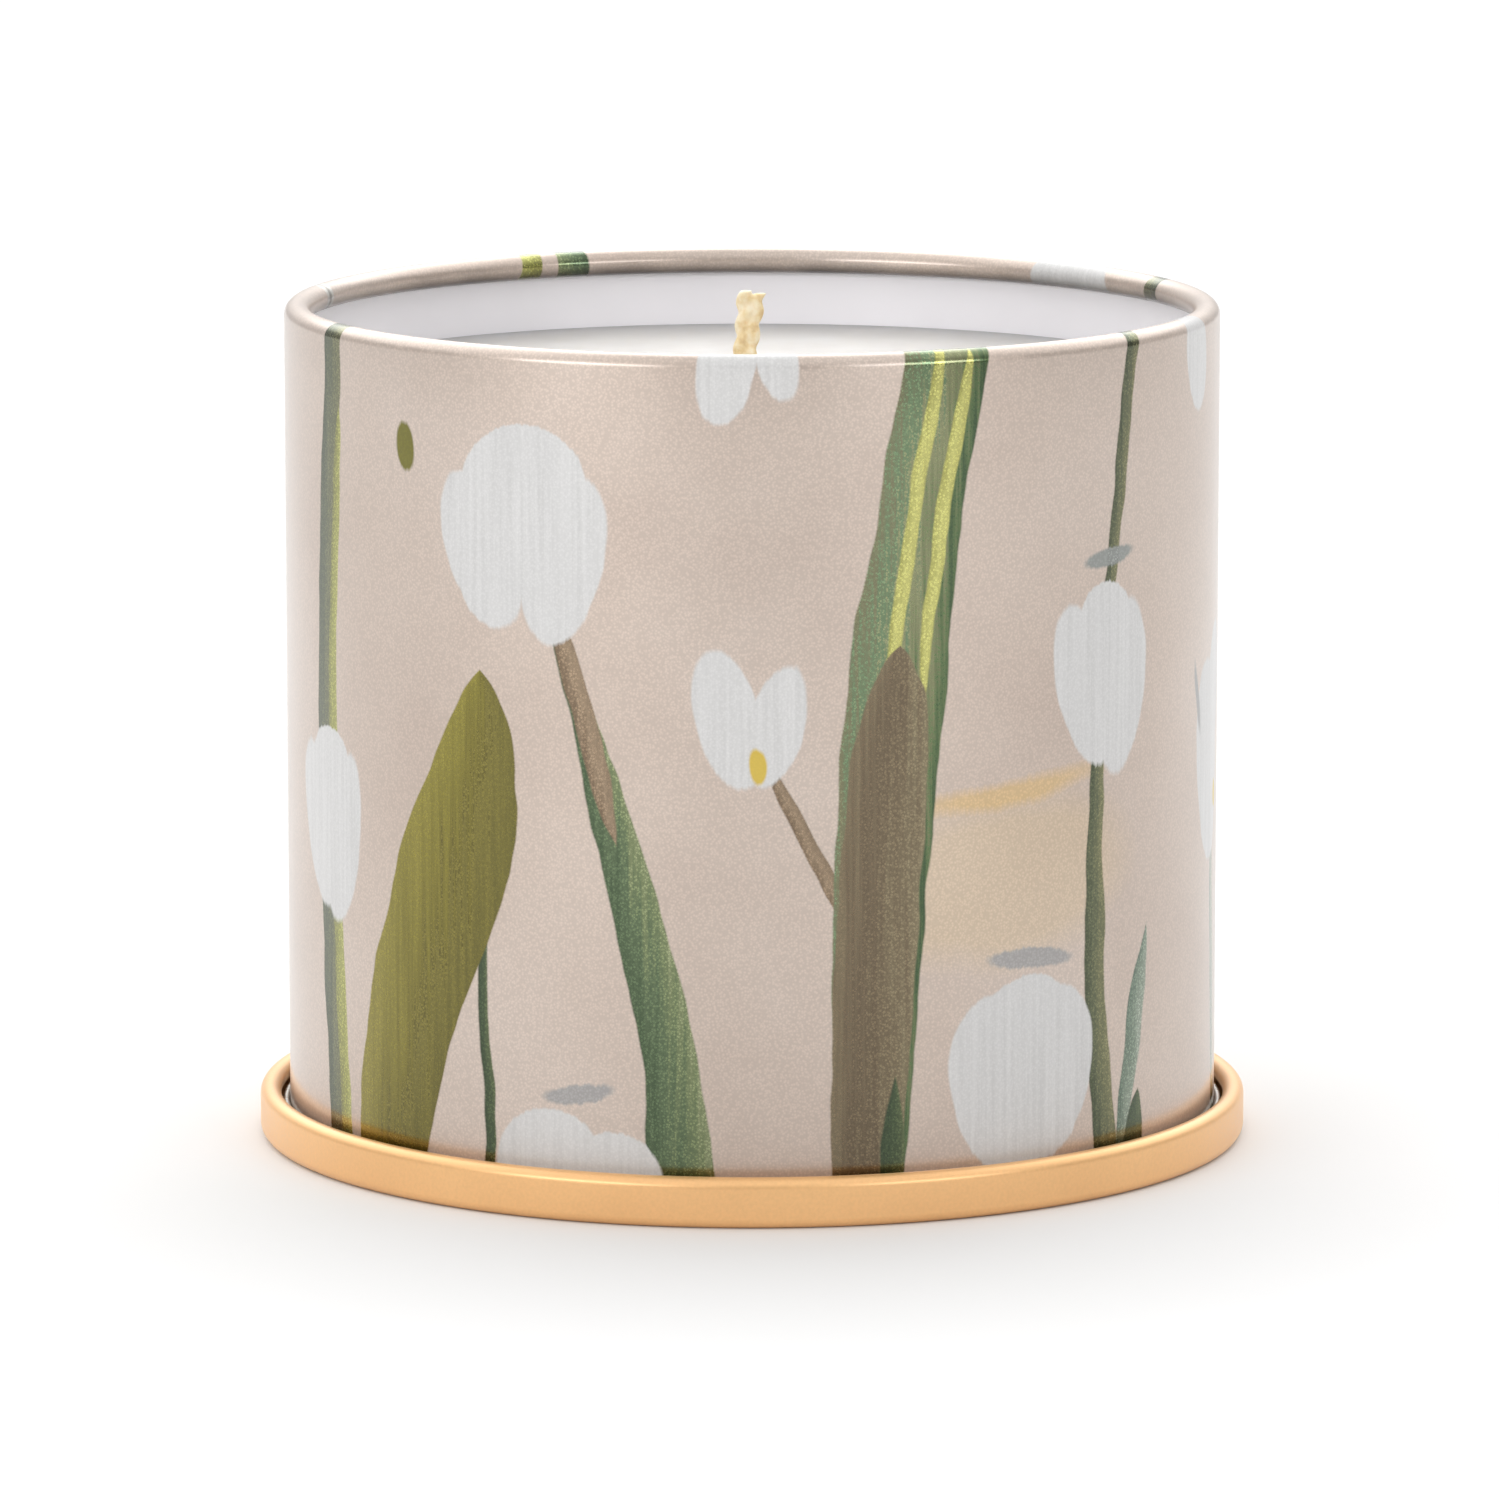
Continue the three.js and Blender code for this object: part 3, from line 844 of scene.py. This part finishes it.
def mottled_matt(name, low, high, scale, roughness, relief_mm):
    """A plain matt finish with its own small mottle: rubbery compound, foam or paper."""
    material, tree, shader = new_material(name, values={"Specular IOR Level": 0.3})
    place = add_node(tree, "TexCoord").outputs["Object"]
    mottle = add_node(tree, "TexNoise", {"Vector": place, "Scale": scale, "Detail": 4})
    color = add_node(tree, "ValToRGB", {"Fac": mottle}, stops=[(0.3, low), (0.7, high)])
    rough = add_node(tree, "MapRange", {0: mottle, 3: roughness - 0.08, 4: roughness + 0.08})
    relief = add_node(
        tree, "Bump", {"Height": mottle, "Strength": 0.3, "Distance": relief_mm * MM}
    )
    finish_shader(tree, shader, {"Base Color": color, "Roughness": rough, "Normal": relief})
    return material


# ---------------------------------------------------------------- pieces


def make_lid():
    skirt = LID_BOX[1].x - LID_SHEET / 2
    edge_middle = LID_BOX[1].x - LID_EDGE_RADIUS
    edge_path = skirt - edge_middle
    curl_height = LID_BOX[1].z - LID_EDGE_RADIUS
    foot = LID_SHEET / 2
    panel = LID_PANEL_RISE + foot
    rings = [
        (FLAT_MIDDLE_RADIUS, panel),
        (LID_PANEL_RADIUS - LID_STEP_EASE, panel),
        (LID_PANEL_RADIUS, panel - LID_STEP_ROUNDING),
        (LID_FOOT_RADIUS, foot + LID_STEP_ROUNDING),
        (LID_FOOT_RADIUS + LID_STEP_EASE, foot),
        *arc((edge_middle, LID_EDGE_RADIUS), edge_path, -90, 0, CORNER_STEPS),
        *arc((edge_middle, curl_height), edge_path, 0, LID_CURL_END, LID_CURL_STEPS),
    ]
    lid = draw_out("lid_tray", rings, closed_start=True)
    point_outwards()
    lid.data.materials.append(gold_lacquered_tinplate())
    thicken(lid, LID_SHEET)
    stand_for(lid, "lid", "lid_tray")


def make_tin_wall():
    foot = BASE_BOX[0].z
    curl_middle = (WALL_OUTER - RIM_CURL_RADIUS, BODY_BOX[1].z - RIM_CURL_RADIUS)
    fold_middle = (WALL_MIDDLE + LAYER, foot + 2 * LAYER + TIN_SHEET / 2)
    wall_top = curl_middle[1]
    wall_bottom = foot + SEAM_HEIGHT
    wall = [
        (WALL_MIDDLE, wall_top + (wall_bottom - wall_top) * step / WALL_STEPS)
        for step in range(1, WALL_STEPS + 1)
    ]
    fold = arc(fold_middle, LAYER, -180, 0, CORNER_STEPS)
    rings = [
        *arc(curl_middle, RIM_CURL_RADIUS - TIN_SHEET / 2, RIM_CURL_END, 0, RIM_CURL_STEPS),
        *wall,
        *fold,
        (fold[-1][0], fold_middle[1] + BODY_HOOK_LENGTH),
    ]
    tin = draw_out("tin_wall", rings)
    point_outwards()
    lay_out_print(tin, rings)
    tin.data.materials.append(printed_varnished_tinplate())
    tin.data.materials.append(white_stoved_enamel())
    thicken(tin, TIN_SHEET)
    stand_for(tin, "tin_body", "candle")


def make_base_end():
    foot = BASE_BOX[0].z
    panel = foot + BASE_RECESS + TIN_SHEET / 2
    chuck_wall = WALL_MIDDLE - LAYER
    turn_middle = (chuck_wall - BASE_TURN_RADIUS, panel - BASE_TURN_RADIUS)
    outer_fold_middle = (WALL_MIDDLE + LAYER, foot + 2 * LAYER + TIN_SHEET / 2)
    top_fold_middle = (WALL_MIDDLE + 2 * LAYER, foot + SEAM_HEIGHT - LAYER - TIN_SHEET / 2)
    bead = zip(BEAD_RADII, (panel, panel + BEAD_HEIGHT, panel + BEAD_HEIGHT, panel))
    rings = [
        (FLAT_MIDDLE_RADIUS, panel),
        *bead,
        *arc(turn_middle, BASE_TURN_RADIUS, 90, 0, CORNER_STEPS),
        *arc(outer_fold_middle, 2 * LAYER, -180, 0, OUTER_FOLD_STEPS),
        *arc(top_fold_middle, LAYER, 0, 180, TOP_FOLD_STEPS),
        (WALL_MIDDLE + LAYER, foot + COVER_HOOK_END),
    ]
    base = draw_out("tin_base", rings, closed_start=True)
    point_outwards()
    base.data.materials.append(bright_tinplate())
    thicken(base, TIN_SHEET)
    stand_for(base, "base_end", "candle")


def make_seam_compound():
    low, high = COMPOUND_BOX
    middle = (WALL_MIDDLE + 2 * LAYER, (low.z + high.z) / 2)
    radius = (high.z - low.z) / 2
    width = high.x - middle[0]
    round_section = arc(middle, radius, 0, 360 - 360 / COMPOUND_SIDES, COMPOUND_SIDES - 1)
    section = [(middle[0] + (r - middle[0]) * width / radius, z) for r, z in round_section]
    compound = draw_out("seam_sealant", section)
    close_loop()
    point_outwards()
    compound.data.materials.append(mottled_matt("flowed_in_sealant", "63676b", "74787c", 900, 0.7, 0.03))
    smooth(compound)
    stand_for(compound, "seam_compound", "candle")


def wax_height(radius):
    """Height of the wax above a point at this distance from the wick, before the wall."""
    share = min(1, radius / WAX_BOX[1].x)
    return WAX_TOP - WAX_DISH * math.sin(math.pi * share) ** 2


def make_wax():
    low, high = WAX_BOX
    wall = high.x
    panel = BASE_BOX[0].z + BASE_RECESS + TIN_SHEET
    meniscus = []
    for step in range(MENISCUS_STEPS + 1):
        share = step / MENISCUS_STEPS
        rise = MENISCUS_RISE * (1 - share) ** 3
        radius = wall - MENISCUS_WIDTH * share
        meniscus.append((radius, wax_height(radius) + rise, 0))
    surface = []
    for step in range(1, SURFACE_STEPS + 1):
        share = step / SURFACE_STEPS
        radius = (wall - MENISCUS_WIDTH) * (1 - share) + CLIMB_RADIUS * share
        surface.append((radius, wax_height(radius), TAB_MIDDLE * share))
    climb = []
    for step in range(1, CLIMB_STEPS + 1):
        share = step / CLIMB_STEPS
        radius = CLIMB_RADIUS + (MOUTH_RADIUS - CLIMB_RADIUS) * share
        rise = WICK_CLIMB * share**3
        climb.append((radius, wax_height(CLIMB_RADIUS) + rise, TAB_MIDDLE))
    neck = TAB_NECK_RADIUS + TAB_SHEET / 2 + 2 * WAX_GAP
    tab_rim = TAB_BOX[1].x - TAB_MIDDLE + WAX_GAP
    disc_top = TAB_BOX[0].z + TAB_SHEET + 2 * WAX_GAP
    hollow = [
        (MOUTH_RADIUS, TAB_BOX[1].z + MOUTH_RISE, TAB_MIDDLE),
        (neck, TAB_BOX[1].z, TAB_MIDDLE),
        (neck, disc_top + TAB_FILLET / 2, TAB_MIDDLE),
        (neck + TAB_FILLET, disc_top, TAB_MIDDLE),
        (tab_rim, disc_top, TAB_MIDDLE),
        (tab_rim, DOT_BOX[0].z, TAB_MIDDLE),
    ]
    under = panel + WAX_GAP
    beads = zip(BEAD_RADII, (under, under + BEAD_HEIGHT, under + BEAD_HEIGHT, under))
    underside = [(radius, height, 0) for radius, height in beads]
    rings = [
        *meniscus,
        *surface,
        *climb,
        *hollow,
        *underside,
        (WALL_MIDDLE - LAYER - BASE_TURN_RADIUS, under, 0),
        (wall, low.z, 0),
        (wall, (low.z + high.z) / 2, 0),
    ]
    wax = draw_out("poured_wax", rings)
    close_loop()
    point_outwards()
    wax.data.materials.append(poured_soy_wax())
    smooth(wax)
    stand_for(wax, "wax_fill", "candle")


def strand_place(number, height):
    """Middle of one strand of the plait at this height, and its radius."""
    share = max(0, (height - WAX_TOP) / (WICK_BOX[1].z - WAX_TOP))
    spread = share**2
    half_width = PLAIT_HALF_WIDTH + (TIP_HALF_WIDTH - PLAIT_HALF_WIDTH) * spread
    half_depth = PLAIT_HALF_DEPTH + (TIP_HALF_DEPTH - PLAIT_HALF_DEPTH) * spread
    turn = math.tau * (height / PLAIT_PITCH + number / STRANDS)
    middle = TAB_MIDDLE * (1 - share**WICK_LEAN_POWER)
    return middle + half_width * math.sin(turn), half_depth * math.sin(2 * turn)


def make_strand(number):
    """One strand, drawn up through the plait from its foot to its own ragged end."""
    low, high = WICK_BOX
    height = low.z
    x, y = strand_place(number, height)
    strand = add_circle("wick_strand", STRAND_RADIUS, height, 0, STRAND_SIDES, "NGON")
    edit(strand)
    bpy.ops.mesh.select_mode(type="FACE")
    bpy.ops.mesh.select_all(action="SELECT")
    bpy.ops.transform.translate(value=(x * MM, y * MM, 0))
    end = high.z - STRAND_ENDS[number]
    while height < end:
        next_height = min(height + STRAND_STEP, end)
        next_x, next_y = strand_place(number, next_height)
        step = ((next_x - x) * MM, (next_y - y) * MM, (next_height - height) * MM)
        bpy.ops.mesh.extrude_region_move(TRANSFORM_OT_translate={"value": step})
        x, y, height = next_x, next_y, next_height
    point_outwards()
    return strand


def make_wick():
    strands = [make_strand(number) for number in range(STRANDS)]
    clear_selection()
    for strand in strands:
        strand.select_set(True)
    wick = strands[0]
    bpy.context.view_layer.objects.active = wick
    bpy.ops.object.join()
    wick.name = "plaited_wick"
    wick.data.name = "plaited_wick"
    apply_modifier(wick, "REMESH", mode="VOXEL", voxel_size=WAX_FILM_VOXEL * MM)
    apply_modifier(wick, "SMOOTH", factor=0.5, iterations=WAX_FILM_PASSES)
    wick.data.materials.clear()
    wick.data.materials.append(waxed_plaited_cotton())
    smooth(wick)
    stand_for(wick, "wick", "candle")


def make_wick_tab():
    low, high = TAB_BOX
    disc = low.z + TAB_SHEET / 2
    fillet_middle = (TAB_NECK_RADIUS + TAB_FILLET, disc + TAB_FILLET)
    crimped = TAB_NECK_RADIUS - TAB_CRIMP_DEPTH
    rings = [
        (high.x - TAB_MIDDLE - TAB_SHEET / 2, disc),
        *arc(fillet_middle, TAB_FILLET, 270, 180, TAB_FILLET_STEPS),
        (TAB_NECK_RADIUS, low.z + TAB_CRIMP_FOOT),
        (crimped, low.z + TAB_CRIMP_FOOT + TAB_CRIMP_SLOPE),
        (crimped, high.z - TAB_CRIMP_SLOPE),
        (TAB_NECK_RADIUS, high.z),
    ]
    tab = draw_out("wick_holder", rings, sides=SMALL_SIDES, middle=TAB_MIDDLE)
    point_outwards()
    tab.data.materials.append(bright_tinplate("zinc_plated_steel", "a3a7ad", "bcc0c6"))
    thicken(tab, TAB_SHEET)
    stand_for(tab, "wick_tab", "candle")


def make_flat_disc(name, node, material, sides, middle=0):
    """A thin disc with its edge broken: the adhesive dot and the label."""
    low, high = box_mm(node)
    radius = (high.x - low.x) / 2
    edge = (high.z - low.z) / 4
    rings = [
        (radius - edge, low.z),
        (radius, low.z + edge),
        (radius, high.z - edge),
        (radius - edge, high.z),
    ]
    piece = draw_out(name, rings, sides=sides, middle=middle, closed_start=True)
    close_centre()
    point_outwards()
    piece.data.materials.append(material)
    smooth(piece)
    stand_for(piece, node, "candle")


# ---------------------------------------------------------------- studio


# Brightness of the sky from the horizon up, as greys, and its strength at white.
SKY_STOPS = [(0, "6c6c6c"), (0.3, "909090"), (0.45, "ffffff"), (0.85, "ffffff"), (0.95, "c0c0c0")]
SKY_STRENGTH = 2.05
SKY_LEAN = (-0.08, 0.78, 0)
SKY_SIDE_FALL = -0.5

# Softboxes: a name, a place, a width and a height in metres, and a power in watts.
SOFTBOXES = [
    ("softbox_left", (-0.5, -0.58, 0.27), 0.5, 0.15, 1.9),
    ("softbox_right", (0.5, -0.58, 0.27), 0.42, 0.15, 1.3),
]

# Floor and camera: lengths in metres, the lens and its sensor in millimetres.
FLOOR_SIZE = 6
CAMERA_PLACE = (-0.0002, -0.8891, 0.1851)
CAMERA_PITCH = math.radians(90 - 9.48)
CAMERA_LENS = 225.8
CAMERA_SENSOR = 36
CAMERA_NEAREST = 0.05


def make_floor():
    clear_selection()
    bpy.ops.mesh.primitive_plane_add(size=FLOOR_SIZE, location=(0, 0, 0))
    floor = bpy.context.object
    floor.name = "studio_floor"
    material, tree, shader = new_material(
        "white_studio_paper", values={"Base Color": paint("dcdcdc"), "Roughness": 0.9}
    )
    floor.data.materials.append(material)


def add_softbox(name, place, width, height, power):
    """A rectangular area light that points at the middle of the tin."""
    light = bpy.data.lights.new(name, "AREA")
    light.shape = "RECTANGLE"
    light.size = width
    light.size_y = height
    light.energy = power
    lamp = bpy.data.objects.new(name, light)
    bpy.context.scene.collection.objects.link(lamp)
    lamp.location = place
    middle = (CAD_BOUNDS[0] + CAD_BOUNDS[1]) / 2
    lamp.rotation_euler = (middle - lamp.location).to_track_quat("-Z", "Y").to_euler()


def make_sky():
    """Soft studio light all round: a bright ring half way up, dimmer overhead, low down and
    to the sides, and stronger from behind, so that the tin's soft shadow falls forwards."""
    world = bpy.data.worlds.new("studio")
    bpy.context.scene.world = world
    world.use_nodes = True
    tree = world.node_tree
    outlook = add_node(tree, "TexCoord").outputs["Generated"]
    way = add_node(tree, "SeparateXYZ", {0: outlook})
    level = add_node(tree, "ValToRGB", {"Fac": way.outputs["Z"]}, stops=SKY_STOPS)
    lean = add_node(tree, "VectorMath", {0: outlook, 1: SKY_LEAN}, operation="DOT_PRODUCT")
    side = add_node(tree, "Math", {0: way.outputs["X"], 1: way.outputs["X"]}, operation="MULTIPLY")
    side = add_node(tree, "Math", {0: side, 1: SKY_SIDE_FALL, 2: 1}, operation="MULTIPLY_ADD")
    lean = add_node(tree, "Math", {0: lean, 1: side}, operation="ADD")
    strength = add_node(tree, "Math", {0: lean, 1: SKY_STRENGTH}, operation="MULTIPLY")
    light = add_node(tree, "Background", {"Color": level, "Strength": strength})
    # where the sky itself is in view it is a plain pale backdrop
    backdrop = add_node(tree, "Background", {"Color": paint("fafafa")})
    seen = add_node(tree, "LightPath").outputs["Is Camera Ray"]
    sky = add_node(tree, "MixShader", {0: seen, 1: light, 2: backdrop})
    tree.links.new(sky.outputs[0], tree.nodes["World Output"].inputs["Surface"])


def make_studio():
    make_floor()
    make_sky()
    for softbox in SOFTBOXES:
        add_softbox(*softbox)
    bpy.context.scene.view_settings.view_transform = "Standard"


def make_camera():
    """A long lens, looking down on the front of the tin at a shallow angle."""
    camera = bpy.data.cameras.new("camera")
    camera.sensor_width = CAMERA_SENSOR
    camera.lens = CAMERA_LENS
    camera.clip_start = CAMERA_NEAREST
    rig = bpy.data.objects.new("camera", camera)
    bpy.context.scene.collection.objects.link(rig)
    rig.location = CAMERA_PLACE
    rig.rotation_euler = (CAMERA_PITCH, 0, 0)
    bpy.context.scene.camera = rig


make_lid()
make_tin_wall()
make_base_end()
make_seam_compound()
make_wax()
make_wick()
make_wick_tab()
make_flat_disc(
    "adhesive_dot",
    "wick_sticker",
    mottled_matt("acrylic_foam", "eae8e2", "f4f2ee", 1500, 0.8, 0.05),
    SMALL_SIDES,
    TAB_MIDDLE,
)
make_flat_disc(
    "blank_base_label",
    "base_label",
    mottled_matt("uncoated_label_paper", "ece7dd", "f2efe8", 1800, 0.85, 0.02),
    ROUND_SIDES,
)
make_studio()
make_camera()
